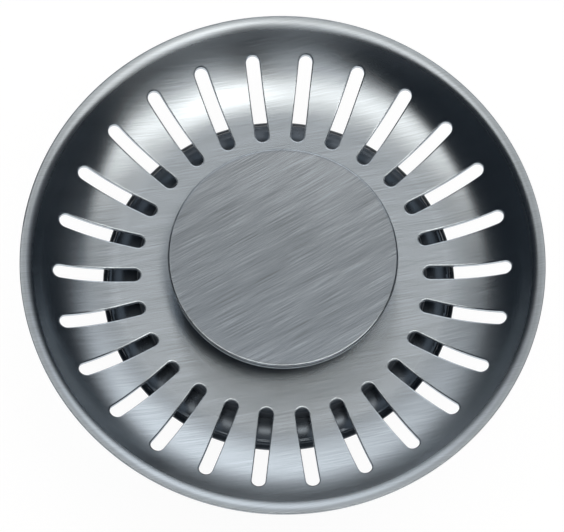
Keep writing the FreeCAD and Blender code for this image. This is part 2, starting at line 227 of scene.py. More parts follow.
# distance from the Z axis, and height
def axisDistance(tree, vector):
    split = addNode(tree, "ShaderNodeSeparateXYZ", {"Vector": vector})
    squares = mathNode(tree, "MULTIPLY", split["Y"], split["Y"])
    squares = mathNode(tree, "MULTIPLY_ADD", split["X"], split["X"], squares)
    return mathNode(tree, "SQRT", squares), split["Z"]


def noise(tree, vector, rate, detail, rough=0.5, dimensions="3D"):
    sockets = {"Vector": vector, "Scale": rate, "Detail": detail, "Roughness": rough}
    return addNode(tree, "ShaderNodeTexNoise", sockets, noise_dimensions=dimensions)["Fac"]


def relief(tree, shader, height, depth):
    bump = addNode(tree, "ShaderNodeBump", {"Height": height, "Distance": depth, "Strength": 1.0})
    feed(tree, shader, {"Normal": bump["Normal"]})


# group that takes a place and some values and gives some values
def newGroup(name, takes, gives):
    group = bpy.data.node_groups.new(name, "ShaderNodeTree")
    group.interface.new_socket("Vector", in_out="INPUT", socket_type="NodeSocketVector")
    for label in takes:
        group.interface.new_socket(label, in_out="INPUT", socket_type="NodeSocketFloat")
    for label in gives:
        group.interface.new_socket(label, in_out="OUTPUT", socket_type="NodeSocketFloat")
    return group, group.nodes.new("NodeGroupInput").outputs, group.nodes.new("NodeGroupOutput")


# brushed sheet: hair lines, streaks and broad bands, each a noise drawn out along X, added by weight;
# each has its rates along and across, its detail and its place in the noise
brushing = {"Hair": ((110.0, 11000.0), 1.0, (3.1, 7.7)), "Streak": ((55.0, 3200.0), 2.0, (11.3, 1.9)),
            "Band": ((24.0, 420.0), 2.0, (5.3, 23.1))}


def strand(tree, vector, rates, detail, seed):
    sockets = {"Vector": vector, "Location": (*seed, 0.0), "Scale": (*rates, 0.0)}
    stretch = addNode(tree, "ShaderNodeMapping", sockets, vector_type="POINT")
    return noise(tree, stretch[0], 1.0, detail, rough=0.6, dimensions="2D")


def brushedGroup():
    group, given, result = newGroup("brushedSheet", brushing, ["Tone", "Height", "Rub"])
    lines = {label: strand(group, given["Vector"], *line) for label, line in brushing.items()}
    tone = 0.5
    for label, line in lines.items():
        tone = mathNode(group, "MULTIPLY_ADD", mathNode(group, "SUBTRACT", line, 0.5), given[label], tone)
    height = blend(group, lines["Hair"], lines["Streak"], 0.5)
    rub = blend(group, lines["Band"], lines["Hair"], 0.5)
    feed(group, result, {"Tone": tone, "Height": height, "Rub": rub})
    return group


# moulded or cast skin: fine pips for the surface and slow clouds for handling and dust,
# each with the input for its rate, its detail and its roughness
moulding = {"Pips": ("Pip rate", 2.0, 0.55), "Clouds": ("Cloud rate", 4.0, 0.6)}


def mouldedGroup():
    group, given, result = newGroup("mouldedSkin", ["Pip rate", "Cloud rate"], moulding)
    for label, (rate, detail, rough) in moulding.items():
        feed(group, result, {label: noise(group, given["Vector"], given[rate], detail, rough)})
    return group


# turning marks: noise read at (radius, height) only, so that every mark runs round the axis
turning = {"detail": 1.0, "share": 0.6, "cloudRate": 220.0, "cloudDetail": 3.0}


def turnedGroup():
    group, given, result = newGroup("turningMarks", ["Feed rate"], ["Tone", "Height"])
    place = axisDistance(group, given["Vector"])
    fed = [mathNode(group, "MULTIPLY", measure, given["Feed rate"]) for measure in place]
    spot = addNode(group, "ShaderNodeCombineXYZ", {"X": fed[0], "Y": fed[1]})
    marks = noise(group, spot[0], 1.0, turning["detail"], dimensions="2D")
    clouds = noise(group, given["Vector"], turning["cloudRate"], turning["cloudDetail"])
    feed(group, result, {"Tone": blend(group, marks, clouds, turning["share"]), "Height": marks})
    return group


brushedSheet = brushedGroup()
mouldedSkin = mouldedGroup()
turningMarks = turnedGroup()


# material start: Principled shader and object coordinates
def newFinish(name):
    material = bpy.data.materials.new(name)
    material.use_nodes = True
    tree = material.node_tree
    place = addNode(tree, "ShaderNodeTexCoord")["Object"]
    return material, tree, tree.nodes["Principled BSDF"], place


# brushed stainless sheet: the coordinates are turned about Z and drawn out along the grain,
# and the sheen spreads across the grain, so the tangent lies across it
def brushedSteel(name, look):
    material, tree, shader, place = newFinish(name)
    turn = {"Vector": place, "Rotation": (0.0, 0.0, math.radians(look["grain"])),
            "Scale": (look["length"], 1.0, 1.0)}
    along = addNode(tree, "ShaderNodeMapping", turn, vector_type="TEXTURE")[0]
    weights = {"Vector": along, "Hair": look["hair"], "Streak": look["streak"], "Band": look["band"]}
    brush = addNode(tree, "ShaderNodeGroup", weights, node_tree=brushedSheet)
    radius, height = axisDistance(tree, place)
    rough = between(tree, brush["Rub"], *look["rough"])
    start, end, rimRough = look["rim"]  # the pressed edge is smoother or coarser than the brushed face
    rough = shift(tree, rough, rimRough, rise(tree, radius, start, end))
    inner, outer, high, low, left, dull = look["dullShade"]  # zone outside a radius and under a height, made rougher and given painted shade (its colour darkened)
    dullShadeZone = mathNode(tree, "MULTIPLY", rise(tree, radius, inner, outer), rise(tree, height, high, low))
    rough = shift(tree, rough, dull, dullShadeZone)
    start, end, foot = look["hem"]  # painted shade: share of the colour kept in the zone, left above the start height and foot below the end height
    kept = between(tree, rise(tree, height, start, end), left - 1.0, foot - 1.0)
    kept = mathNode(tree, "MULTIPLY_ADD", dullShadeZone, kept, 1.0)
    # colour scaled by the kept share: painted shade on the dish's outer lip and the knob's skirt
    paintedShade = {"Vector": spread(tree, brush["Tone"], look), "Scale": kept}
    colour = addNode(tree, "ShaderNodeVectorMath", paintedShade, operation="SCALE")[0]
    tangent = addNode(tree, "ShaderNodeTangent", direction_type="UV_MAP", uv_map="grain")[0]
    feed(tree, shader, {"Base Color": colour, "Roughness": rough, "Metallic": 1.0,
                        "Anisotropic": look["pull"], "Tangent": tangent})
    relief(tree, shader, brush["Height"], look["depth"])
    return material


def turnedMetal(name, look):
    material, tree, shader, place = newFinish(name)
    rates = {"Vector": place, "Feed rate": look["feed"]}
    marks = addNode(tree, "ShaderNodeGroup", rates, node_tree=turningMarks)
    feed(tree, shader, {"Base Color": spread(tree, marks["Tone"], look, margin=0.25),
                        "Roughness": between(tree, marks["Tone"], *look["rough"]), "Metallic": 1.0})
    relief(tree, shader, marks["Height"], look["depth"])
    return material


def mouldedBlack(name, look):
    material, tree, shader, place = newFinish(name)
    rates = {"Vector": place, "Pip rate": look["pips"], "Cloud rate": look["clouds"]}
    skin = addNode(tree, "ShaderNodeGroup", rates, node_tree=mouldedSkin)
    feed(tree, shader, {"Base Color": spread(tree, skin["Clouds"], look, margin=0.3),
                        "Roughness": between(tree, skin["Clouds"], *look["rough"]),
                        "Specular IOR Level": look["gloss"], "Specular Tint": (*look["cast"], 1.0),
                        "IOR": look["index"]})
    relief(tree, shader, skin["Pips"], look["depth"])
    return material


# places and depths of a finish are in metres and its rates per metre, as the coordinates are
# dullShade on the dish: past 40.4 mm the outer lip is rougher and its colour is darkened to 0.77, painted
# shade
dishFinish = {"grain": 10.0, "sheen": 16.0, "length": 0.8, "hair": 0.75, "streak": 0.25, "band": 0.25,
              "pull": 0.872, "depth": 1e-6, "dark": (0.415, 0.459, 0.5), "light": (0.707, 0.781, 0.85),
              "rough": (0.225, 0.265), "rim": (0.0389, 0.0402, 0.31),
              "dullShade": (0.0404, 0.0409, 0.2, 0.1, 0.77, 0.31), "hem": (0.01, 0.0, 0.77)}
# dullShade on the knob: the skirt is rougher and its colour is painted near black from just under the top
# edge down to about 26.8 mm, painted shade, kept at 0.95 towards the foot
knobFinish = {"grain": 29.0, "sheen": 31.0, "length": 0.8, "hair": 1.8, "streak": 0.4, "band": 0.6,
              "pull": 0.872, "depth": 1e-6, "dark": (0.326, 0.36, 0.396), "light": (0.58, 0.641, 0.705),
              "rough": (0.225, 0.265), "rim": (0.01785, 0.018, 0.12),
              "dullShade": (0.01765, 0.01775, 0.0274, 0.02722, 0.04, 0.5), "hem": (0.02686, 0.0267, 0.95)}
postFinish = {"feed": 9000.0, "dark": (0.46, 0.46, 0.465), "light": (0.66, 0.66, 0.665),
              "rough": (0.18, 0.3), "depth": 3e-6}
clampFinish = {"feed": 3500.0, "dark": (0.5, 0.5, 0.49), "light": (0.68, 0.68, 0.67),
               "rough": (0.25, 0.42), "depth": 3e-6}
springFinish = {"feed": 5000.0, "dark": (0.2, 0.2, 0.21), "light": (0.36, 0.36, 0.37),
                "rough": (0.3, 0.45), "depth": 3e-6}
ballFinish = {"feed": 2500.0, "dark": (0.62, 0.62, 0.63), "light": (0.74, 0.74, 0.75),
              "rough": (0.06, 0.14), "depth": 1e-6}
brassFinish = {"feed": 8000.0, "dark": (0.6, 0.42, 0.16), "light": (0.8, 0.6, 0.26),
               "rough": (0.2, 0.34), "depth": 3e-6}
plasticFinish = {"pips": 5200.0, "clouds": 140.0, "dark": (0.01, 0.0125, 0.016),
                 "light": (0.02, 0.025, 0.031), "rough": (0.38, 0.52), "gloss": 0.6,
                 "cast": (0.68, 0.82, 1.0), "index": 1.55, "depth": 1.2e-5}
rubberFinish = {"pips": 8200.0, "clouds": 190.0, "dark": (0.002, 0.0035, 0.006),
                "light": (0.006, 0.009, 0.014), "rough": (0.24, 0.3), "gloss": 1.0,
                "cast": (0.74, 0.86, 1.0), "index": 1.62, "depth": 3e-6}

dishSteel = brushedSteel("dishSteel", dishFinish)
knobSteel = brushedSteel("knobSteel", knobFinish)
turnedSteel = turnedMetal("turnedSteel", postFinish)
plainSteel = turnedMetal("plainSteel", clampFinish)
springSteel = turnedMetal("springSteel", springFinish)
ballSteel = turnedMetal("ballSteel", ballFinish)
bushBrass = turnedMetal("bushBrass", brassFinish)
blackPlastic = mouldedBlack("blackPlastic", plasticFinish)
blackRubber = mouldedBlack("blackRubber", rubberFinish)
print("materials:", len(bpy.data.materials), "made")


# strainer dish: flat floor, hollow wall, rolled lip and a ring of slots
dish = {"base": 18.5, "sheet": 0.8, "floorRadius": 25.8872, "wallRadius": 19.2778, "wallAngle": 40.4,
        "lipRadius": 3.2, "lipDroop": 2.0, "lipCentre": 41.3883, "edgeRound": 0.12, "lipSteps": (6, 10, 18),
        "cutSteps": 5, "hole": 3.2, "holeRound": 0.08, "floorRings": (15.0, 9.0),
        "slots": 26, "slotWidth": 2.15, "slotInner": 23.525, "slotOuter": 35.225, "cellInner": 21.0,
        "cellOuter": 37.6, "rollWide": 0.24, "rollDeep": 0.15, "underRound": 0.1,
        "sideSteps": 40, "endSteps": 12, "edgeSteps": 8, "fade": (1.0, 0.8, 0.6, 0.42, 0.26, 0.12, 0.0)}


# height of the sheet's skin at a radius: flat, then a circle of the wall's radius about a point above
def dishHeight(radius, skin):
    bend = np.maximum(radius - dish["floorRadius"], 0.0)
    sweep = dish["wallRadius"] + skin
    centre = dish["base"] + dish["sheet"] + dish["wallRadius"]
    drop = np.sqrt(sweep ** 2 - bend ** 2)
    return centre - drop, bend / drop  # height and slope


# inner and outer loops of one slot cell, both counter-clockwise from the lower inner corner:
# a stadium with its outward directions, and the border of its share of the ring
def slotLoops():
    steps, share = (dish["sideSteps"], dish["endSteps"]), np.pi / dish["slots"]
    x, swing = loopRound((dish["slotInner"], dish["slotOuter"]), (-np.pi / 2, np.pi / 2), *steps)
    outward = ray(swing)
    outward[-dish["endSteps"]:, 0] *= -1  # the inner end bulges towards the middle
    stadium = np.stack([x, np.zeros_like(x)], -1) + outward * dish["slotWidth"] / 2
    radius, angle = loopRound((dish["cellInner"], dish["cellOuter"]), (-share, share), *steps)
    return closeLoop(stadium), closeLoop(outward), closeLoop(radius[:, None] * ray(angle))


# one cell, from its border in to the slot, over the edge that the punch drew down, down the wall and out
# again below; heights come from the sheet's skins at each point's radius, the edge is part of an ellipse
def slotCell():
    stadium, outward, border = slotLoops()
    inward = np.concatenate([-outward, np.zeros((len(outward), 1))], -1)
    fade = np.array(dish["fade"])[:, None, None]
    arc = np.linspace(np.pi / 2, 0, dish["edgeSteps"])[:, None, None]

    def face(skin, side, wide, deep):
        flat = stadium + outward * wide
        rings = flat + (border - flat) * fade
        radius = np.linalg.norm(rings, axis=-1, keepdims=True)
        height, slope = dishHeight(radius, skin)
        up = np.concatenate([-slope * rings / radius, np.ones_like(radius)], -1)
        up *= side / np.linalg.norm(up, axis=-1, keepdims=True)
        edge = stadium + outward * wide * (1 - np.cos(arc))
        edgeHeight = dishHeight(np.linalg.norm(edge, axis=-1, keepdims=True), skin)[0]
        edgeHeight -= side * deep * (1 - np.sin(arc))
        edgeFacing = inward * deep * np.cos(arc) + up[-1] * wide * np.sin(arc)
        edgeFacing /= np.linalg.norm(edgeFacing, axis=-1, keepdims=True)
        points = np.concatenate([rings, edge[1:]])
        heights = np.concatenate([height, edgeHeight[1:]])
        return np.concatenate([points, heights], -1), np.concatenate([up, edgeFacing[1:]])

    top, topFacing = face(0.0, 1.0, dish["rollWide"], dish["rollDeep"])
    under, underFacing = face(dish["sheet"], -1.0, dish["underRound"], dish["underRound"])
    return np.concatenate([top, under[::-1]]), np.concatenate([topFacing, underFacing[::-1]])


# the cell turned to each slot's place
def slotRing():
    turn = np.arange(dish["slots"]) * 2 * np.pi / dish["slots"]
    cos, sin = np.cos(turn)[:, None, None], np.sin(turn)[:, None, None]

    def spin(x, y, z):
        return np.stack(np.broadcast_arrays(x * cos - y * sin, x * sin + y * cos, z), -1)

    return tuple(spin(*np.moveaxis(side, -1, 0)) for side in slotCell())


# lip section from the cells' lower border out, round the cut edge and back in over the crown:
# arcs about the wall's hub and the lip's, with a short cone between them
def lipProfile():
    wall, lip = math.radians(dish["wallAngle"]), math.radians(dish["lipDroop"])
    big, sheet, r = dish["lipRadius"], dish["sheet"], dish["edgeRound"]
    small = big - sheet
    wallHub = np.array([dish["floorRadius"], dish["base"] + sheet + dish["wallRadius"]])
    lipHub = wallHub + (dish["wallRadius"] + big) * np.array([math.sin(wall), -math.cos(wall)])
    lipHub += (dish["lipCentre"] - lipHub[0]) * np.array([1.0, math.tan(wall)])

    def wallArc(skin, angles):
        away = ray(angles - np.pi / 2)
        return wallHub + (dish["wallRadius"] + skin) * away, away

    def lipArc(radius, angles):
        away = ray(np.pi / 2 - angles)
        return lipHub + radius * away, away

    reach = dish["cellOuter"] - dish["floorRadius"]
    lower, upper = (math.asin(reach / (dish["wallRadius"] + skin)) for skin in (sheet, 0.0))
    wallSteps, underSteps, crownSteps = dish["lipSteps"]
    underWall, awayA = wallArc(sheet, np.linspace(lower, wall, wallSteps))
    underLip, awayB = lipArc(small, np.linspace(-wall, lip - r / small, underSteps))
    topLip, awayC = lipArc(big, np.linspace(lip - r / big, -wall, crownSteps))
    topWall, awayD = wallArc(0.0, np.linspace(wall, upper, wallSteps))
    edgeOut, over = ray(np.array([-lip, np.pi / 2 - lip]))
    corner = np.linspace(0, np.pi / 2, dish["cutSteps"])[:, None]
    cutLow = edgeOut * np.sin(corner) - over * np.cos(corner)
    cutHigh = edgeOut * np.cos(corner) + over * np.sin(corner)
    lowCorner = lipHub + over * (small + r) - edgeOut * r + cutLow * r
    highCorner = lipHub + over * (big - r) - edgeOut * r + cutHigh * r
    place = np.vstack([underWall, underLip[1:], lowCorner, highCorner, topLip, topWall[1:]])
    facing = np.vstack([awayA, -awayB[1:], cutLow, cutHigh, awayC, -awayD[1:]])
    return place, facing


def buildDish():
    share, columns = np.pi / dish["slots"], dish["slots"] * dish["endSteps"]
    low, top, hole, edge = dish["base"], dish["base"] + dish["sheet"], dish["hole"], dish["holeRound"]
    rings = dish["cellInner"], *dish["floorRings"]
    floor = [*((ring, top, 0) for ring in rings), (hole, top, edge),
             (hole, low, edge), *((ring, low, 0) for ring in rings[::-1])]
    sections = lipProfile(), filletProfile(floor, False)
    patches = [slotRing(), *(latheGrid(section, columns, -share) for section in sections)]
    piece = makePiece("strainerDish", patches, dishSteel, dishFinish["sheen"])
    settle(piece, "plug", "dish_steel", "strainer_dish")


# knob cap: slightly hollow pressed disc with a rounded edge, a short skirt with a fine rolled line round it
# that draws in a little towards its foot, and a hem turned in under the core
cap = {"base": 25.5, "depth": 2.0, "radius": 18.2, "sheet": 0.5, "edge": 0.33, "hem": 1.6, "hollow": 0.55,
       "flat": 17.55, "foot": 17.93, "inside": 0.1, "hemRound": 0.15, "seam": 26.96, "seamWide": 0.4,
       "seamDeep": 0.18, "seamRound": 0.03, "blend": 0.05, "edgeSteps": 9, "rings": (12, 16), "columns": 240}


# hollow disc: a circle about a point high above, that has the given height where the rounded edge starts
def hollowDisc(top, radius):
    bowl = (cap["flat"] ** 2 + cap["hollow"] ** 2) / (2 * cap["hollow"])
    drop = np.sqrt(bowl ** 2 - radius ** 2)
    return np.stack([radius, top - cap["hollow"] + bowl - drop], -1), np.stack([-radius, drop], -1) / bowl


def buildCap():
    b, t, r, s = cap["base"], cap["base"] + cap["depth"], cap["radius"], cap["sheet"]
    hem, flat, foot, inside, soft = r - cap["hem"], cap["flat"], cap["foot"], cap["inside"], cap["hemRound"]
    seam = cap["seam"] + np.array([-0.5, 0, 0.5]) * cap["seamWide"]
    line = foot + (r - foot) * (seam - b) / (t - b) - np.array([0, 1, 0]) * cap["seamDeep"]
    rim = [(flat, t - s, 0), (r - s, t - s, inside), (foot - s, b + s, inside), (hem, b + s, soft),
           (hem, b, soft), (foot, b, cap["edge"]),
           *((out, level, cap["seamRound"]) for out, level in zip(line, seam)),
           (r, t, cap["edge"]), (flat, t, 0)]
    steps = cap["edgeSteps"]
    rim, rimFacing = (side[steps:-steps] for side in filletProfile(rim, False, steps))
    under, underFacing = hollowDisc(t - s, np.linspace(0, flat - cap["blend"], cap["rings"][0]))
    over, overFacing = hollowDisc(t, np.linspace(flat - cap["blend"], 0, cap["rings"][1]))
    section = np.vstack([under, rim, over]), np.vstack([-underFacing, rimFacing, overFacing])
    piece = makePiece("knobCap", [latheGrid(section, cap["columns"])], knobSteel, knobFinish["sheen"])
    settle(piece, "plug", "knob_steel", "knob_cap")


# knob core: disc held in the cap, flared neck and the stepped socket for the bush
core = {"base": 20.1, "discTop": 27.0, "rim": 17.55, "hem": 16.55, "hemTop": 26.0, "underside": 25.8,
        "neck": 7.5, "neckRound": 0.2, "flare": 2.5, "socket": 4.25, "flange": 5.05, "flangeBase": 24.3,
        "socketTop": 25.5, "edge": 0.1, "step": 0.05, "rimRound": 0.12, "rimDrop": 0.03, "rimSlope": 0.06,
        "topDrop": 0.02, "topInset": 0.6, "rings": 12, "steps": 6, "columns": 128}


def buildCore():
    c = core
    edge, step, steps, rimTop = c["edge"], c["step"], c["steps"], c["discTop"] - c["rimDrop"]
    section = [(0, c["socketTop"], 0), (c["flange"], c["socketTop"], step),
               (c["flange"], c["flangeBase"], step), (c["socket"], c["flangeBase"], step),
               (c["socket"], c["base"], edge), (c["neck"], c["base"], c["neckRound"]),
               (c["neck"], c["underside"], c["flare"]), (c["hem"], c["underside"], edge),
               (c["hem"], c["hemTop"], step), (c["rim"], c["hemTop"], edge),
               (c["rim"], rimTop, c["rimRound"]), (c["rim"] - 1, rimTop - c["rimSlope"], 0)]
    section, facing = filletProfile(section, False, steps)
    radius = np.linspace(c["rim"] - c["topInset"], 0, c["rings"])
    top, topFacing = hollowDisc(c["discTop"] - c["topDrop"], radius)
    section = np.vstack([section[:-steps], top]), np.vstack([facing[:-steps], topFacing])
    piece = makePiece("knobCore", [latheGrid(section, c["columns"])], blackPlastic)
    settle(piece, "plug", "black_plastic", "knob_core")


# soft washer under the neck
gasket = {"base": 19.3, "thick": 0.8, "bore": 3.2, "radius": 8.2, "edges": (0.1, 0.25, 0.25, 0.1),
          "columns": 128}


def buildGasket():
    section = filletProfile(ringCorners(gasket))
    piece = makePiece("knobGasket", [latheGrid(section, gasket["columns"])], blackRubber)
    settle(piece, "plug", "black_rubber", "knob_gasket")


# seal carrier: backing disc with a rounded upper edge and the spigot that centres the seal
carrier = {"base": 15.7, "thick": 2.8, "radius": 23.0, "edge": 0.5, "underEdge": 0.15, "ring": 14.0,
           "spigot": 8.0, "spigotBase": 12.1, "spigotEdge": 0.2, "root": 0.04, "bore": 3.2, "boreEdge": 0.1,
           "columns": 192}


def buildCarrier():
    c = carrier
    top, spigotBase = c["base"] + c["thick"], c["spigotBase"]
    section = [(c["bore"], spigotBase, c["boreEdge"]), (c["spigot"], spigotBase, c["spigotEdge"]),
               (c["spigot"], c["base"], c["root"]), (c["radius"], c["base"], c["underEdge"]),
               (c["radius"], top, c["edge"]), (c["ring"], top, 0), (c["bore"], top, c["boreEdge"])]
    piece = makePiece("sealCarrier", [latheGrid(filletProfile(section), c["columns"])], blackPlastic)
    settle(piece, "plug", "black_plastic", "seal_carrier")


# lip seal: thick hub, lip that bows down and thins outwards, low rounded bead along its edge;
# the soft lip sits a little to the left and is slightly oval
seal = {"base": 11.7, "thick": 4.0, "bore": 8.05, "boreEdge": 0.15, "ring": 14.0, "hub": 17.0, "hubEdge": 0.4,
        "flare": 3.5, "root": 2.2, "rootRound": 0.8, "flat": 23.9, "radius": 27.7, "bow": 5.27, "edge": 0.9,
        "undercut": 0.5, "beadInner": 26.5, "beadOuter": 27.0, "beadRise": 0.08,
        "aside": (-0.42, -0.12), "oval": (1.0126, 0.9957),
        "edgeSteps": 9, "outerSteps": 6, "beadSteps": 11, "innerSteps": 14, "columns": 224}


# the lip's skin is a circle of the bow's radius about a point under the end of the flat
def sealSkin(radius):
    facing = ray(np.arccos((radius - seal["flat"]) / seal["bow"]))
    hub = np.array([seal["flat"], seal["base"] + seal["thick"] - seal["bow"]])
    return hub + seal["bow"] * facing, facing


# arc between two points on the right of the path from the first to the second, as places and facings
def bulge(first, second, radius, steps):
    half = (second - first) / 2
    aside = np.array([-half[1], half[0]]) / np.linalg.norm(half)
    centre = first + half + aside * math.sqrt(max(radius ** 2 - half @ half, 0.0))
    start, end = (math.atan2(*(spot - centre)[::-1]) for spot in (first, second))
    facing = ray(np.linspace(start, start + (end - start) % (2 * np.pi), steps))
    return centre + radius * facing, facing


def buildSeal():
    s = seal
    top = s["base"] + s["thick"]
    outerSkin, outerFacing = sealSkin(np.linspace(s["radius"], s["beadOuter"], s["outerSteps"]))
    innerSkin, innerFacing = sealSkin(np.linspace(s["beadInner"], s["flat"], s["innerSteps"]))
    lowEdge = outerSkin[0] - [s["undercut"], s["edge"]]
    hub = filletProfile([(s["bore"], s["base"], s["boreEdge"]), (s["hub"], s["base"], s["hubEdge"]),
                         (s["hub"] + s["flare"], top - s["root"], s["rootRound"]), (*lowEdge, 0)], False)
    rounded = bulge(lowEdge, outerSkin[0], s["edge"], s["edgeSteps"])
    width = np.linalg.norm(outerSkin[-1] - innerSkin[0])
    beadRadius = (width ** 2 / 4 + s["beadRise"] ** 2) / (2 * s["beadRise"])
    bead = bulge(outerSkin[-1], innerSkin[0], beadRadius, s["beadSteps"])
    rest = filletProfile([(s["flat"], top, 0), (s["ring"], top, 0), (s["bore"], top, s["boreEdge"]),
                          (s["bore"], s["base"], 0)], False)
    parts = hub, rounded, (outerSkin[1:], outerFacing[1:]), bead, (innerSkin, innerFacing), rest
    place, facing = (np.vstack(side) for side in zip(*parts))
    points, facings = latheGrid((place, facing), s["columns"])
    share = np.clip((place[:, 0] - s["hub"]) / (s["flat"] - s["hub"]), 0, 1)  # the hub stays round
    share = (share * share * (3 - 2 * share))[:, None, None]
    points[..., :2] *= 1 + (np.array(s["oval"]) - 1) * share
    points[..., :2] += np.array(s["aside"]) * share
    piece = makePiece("rubberSeal", [(points, facings)], blackRubber)
    settle(piece, "plug", "black_rubber", "rubber_seal")


# steel washer under the seal
washer = {"base": 10.7, "thick": 1.0, "bore": 3.2, "radius": 12.0, "ring": 7.0,
          "edges": (0.12, 0.2, 0.08, 0.08), "columns": 160}


def buildWasher():
    section = ringCorners(washer)
    section.insert(1, (washer["ring"], washer["base"], 0))
    piece = makePiece("sealWasher", [latheGrid(filletProfile(section), washer["columns"])], plainSteel)
    settle(piece, "plug", "plain_steel", "seal_washer")


# split spring washer: a rounded bar carried round the stud from one side of the split to the other
lock = {"base": 9.5, "thick": 1.2, "bore": 3.05, "radius": 5.9, "split": 0.8, "edges": (0.12,) * 4,
        "edgeSteps": 5, "columns": 97, "crease": 30.0}


def buildLockWasher():
    section = filletProfile(ringCorners(lock), True, lock["edgeSteps"])[0]
    opening = np.arcsin(lock["split"] / 2 / section[:, :1])
    turn = opening + np.linspace(0, 1, lock["columns"]) * 2 * (np.pi - opening)
    bar = around(section[:, :1], turn, section[:, 1:])
    middle = np.broadcast_to(bar[:-1].mean(0), bar.shape)
    ends = np.stack([middle[:, 0], bar[:, 0]], 1), np.stack([bar[:, -1], middle[:, -1]], 1)
    patches = [(patch, [0, 0, 1]) for patch in (bar, *ends)]
    piece = makePiece("lockWasher", patches, springSteel, crease=lock["crease"])
    settle(piece, "plug", "spring_steel", "lock_washer")


# thin hexagon nut: flats at half the key size over the cosine of the turn from the flat's middle,
# corners turned off by a cone at both faces
nut = {"base": 6.5, "thick": 3.0, "flats": 10.0, "bore": 3.05, "chamfer": 0.45, "slope": 30.0, "land": 0.02,
       "lead": 0.35, "columns": 193, "crease": 18.0}


def buildNut():
    turn = np.linspace(0, 2 * np.pi, nut["columns"])
    away = np.abs((turn + np.pi / 6) % (np.pi / 3) - np.pi / 6)
    reach = nut["flats"] / 2 / np.cos(away)
    cone = nut["flats"] / math.sqrt(3) - nut["chamfer"]
    drop = np.maximum(reach - cone, 0) * math.tan(math.radians(nut["slope"])) + nut["land"]
    brim = np.minimum(reach, cone)
    low, high, bore, lead = nut["base"], nut["base"] + nut["thick"], nut["bore"], nut["lead"]
    rows = [(bore, low + lead), (bore + lead, low), (brim, low), (reach, low + drop), (reach, high - drop),
            (brim, high), (bore + lead, high), (bore, high - lead), (bore, low + lead)]
    points = np.stack([around(radius, turn, height) for radius, height in rows])
    piece = makePiece("lockNut", [(points, [0, 0, 1])], plainSteel, crease=nut["crease"])
    settle(piece, "plug", "plain_steel", "lock_nut")


# post: threaded stud, plain shank, relief groove, catch section with two ball mouths, tapered nose
post = {"shankTop": 4.5, "radius": 5.0, "chamfer": 0.4, "chamferEdge": 0.05, "groove": 4.4, "grooveTop": -4.5,
        "grooveEdge": 0.1, "catchTop": -6.0, "catchEdge": 0.084, "catchBase": -12.0, "edge": 0.12,
        "noseEnd": -16.0, "noseCorner": 2.674, "noseRound": 0.8, "columns": 128,
        "stud": 3.0, "studTop": 24.9, "studChamfer": 0.6, "pitch": 1.0, "threadDepth": 0.54,
        "threadSlope": 2.6, "threadFlat": 0.2, "threadFade": 0.5, "threadRows": 225,
        "ballLevel": -9.0, "mouth": 1.85, "mouthPlane": 4.3, "mouthRound": 0.06, "mouthSteps": 4,
        "bore": 2.05, "boreEdge": 0.02, "climbSteps": 16,
        "fade": (1.0, 0.85, 0.7, 0.55, 0.4, 0.26, 0.13, 0.05, 0.0)}


# thread: radius falls from the crest by a flattened triangle wave of height less the share of a turn;
# facings are the cross of the grid's two directions
def threadGrid():
    p = post
    low, high = p["shankTop"], p["studTop"]
    turn = np.linspace(0, 2 * np.pi, p["columns"] + 1)
    height = np.linspace(low, high, p["threadRows"])[:, None]
    phase = (height / p["pitch"] - turn / (2 * np.pi)) % 1.0
    wave = np.clip(np.abs(phase - 0.5) * p["threadSlope"] - p["threadFlat"], 0, 1)
    fade = np.clip((height - low) / p["threadFade"], 0, 1) * np.clip((high - height) / p["threadFade"], 0, 1)
    radius = p["stud"] - p["threadDepth"] * wave * fade
    radius = np.minimum(radius, p["stud"] - p["studChamfer"] + (high - height))
    points = around(radius, turn, height)
    ring = points[:, :-1]
    step = np.roll(ring, -1, 1) - np.roll(ring, 1, 1)
    facing = np.cross(np.concatenate([step, step[:, :1]], 1), np.gradient(points, axis=0))
    facing /= np.linalg.norm(facing, axis=-1, keepdims=True)
    top = np.stack([points[-1], points[-1] * [0, 0, 1]])
    return (points, facing), (top, [0, 0, 1])


# catch section unrolled to (arc, height): rings run from a rectangle's border in to the ball's mouth,
# the mouth's circle is seen along X, and the sheet is rolled back on to the post's radius
def mouthCell(side):
    p = post
    r, hole, soft, level = p["radius"], p["mouth"], p["mouthRound"], p["ballLevel"]
    quarter, heights = r * np.pi / 2, (p["catchBase"] + p["edge"], p["catchTop"] - p["edge"])
    long, short = p["columns"] // 2, p["climbSteps"]
    border = closeLoop(np.stack(loopRound((-quarter, quarter), heights, long, short), -1))
    quarters = zip((-0.75, -0.25, 0.25, 0.75), (long, short, long, short))  # starts, in half turns
    look = [np.linspace(start, start + 0.5, count, endpoint=False) for start, count in quarters]
    y, z = closeLoop(ray(np.concatenate(look) * np.pi)).T
    rim = np.stack([r * np.arcsin((hole + soft) * y / r), level + (hole + soft) * z], -1)
    rings = rim + (border - rim) * np.array(p["fade"])[:, None, None]
    turn = rings[..., 0] / r
    skin, skinFacing = around(r, turn, rings[..., 1]), around(1.0, turn, 0.0)
    bend = np.linspace(np.pi / 2, 0, p["mouthSteps"])[1:, None]
    reach = hole + soft * (1 - np.cos(bend))
    depth = np.sqrt(r ** 2 - (reach * y) ** 2) - soft * (1 - np.sin(bend))
    edge = np.stack([depth, reach * y, level + reach * z], -1)
    inward = np.stack([np.zeros_like(y), -y, -z], -1)
    edgeFacing = inward * np.cos(bend)[..., None] + skinFacing[-1] * np.sin(bend)[..., None]
    end = np.stack([np.full_like(y, p["mouthPlane"]), hole * y, level + hole * z], -1)
    flip = np.array([side, side, 1.0])
    points = np.concatenate([skin, edge, end[None]])
    facing = np.concatenate([skinFacing, edgeFacing, inward[None]])
    return points * flip, facing * flip


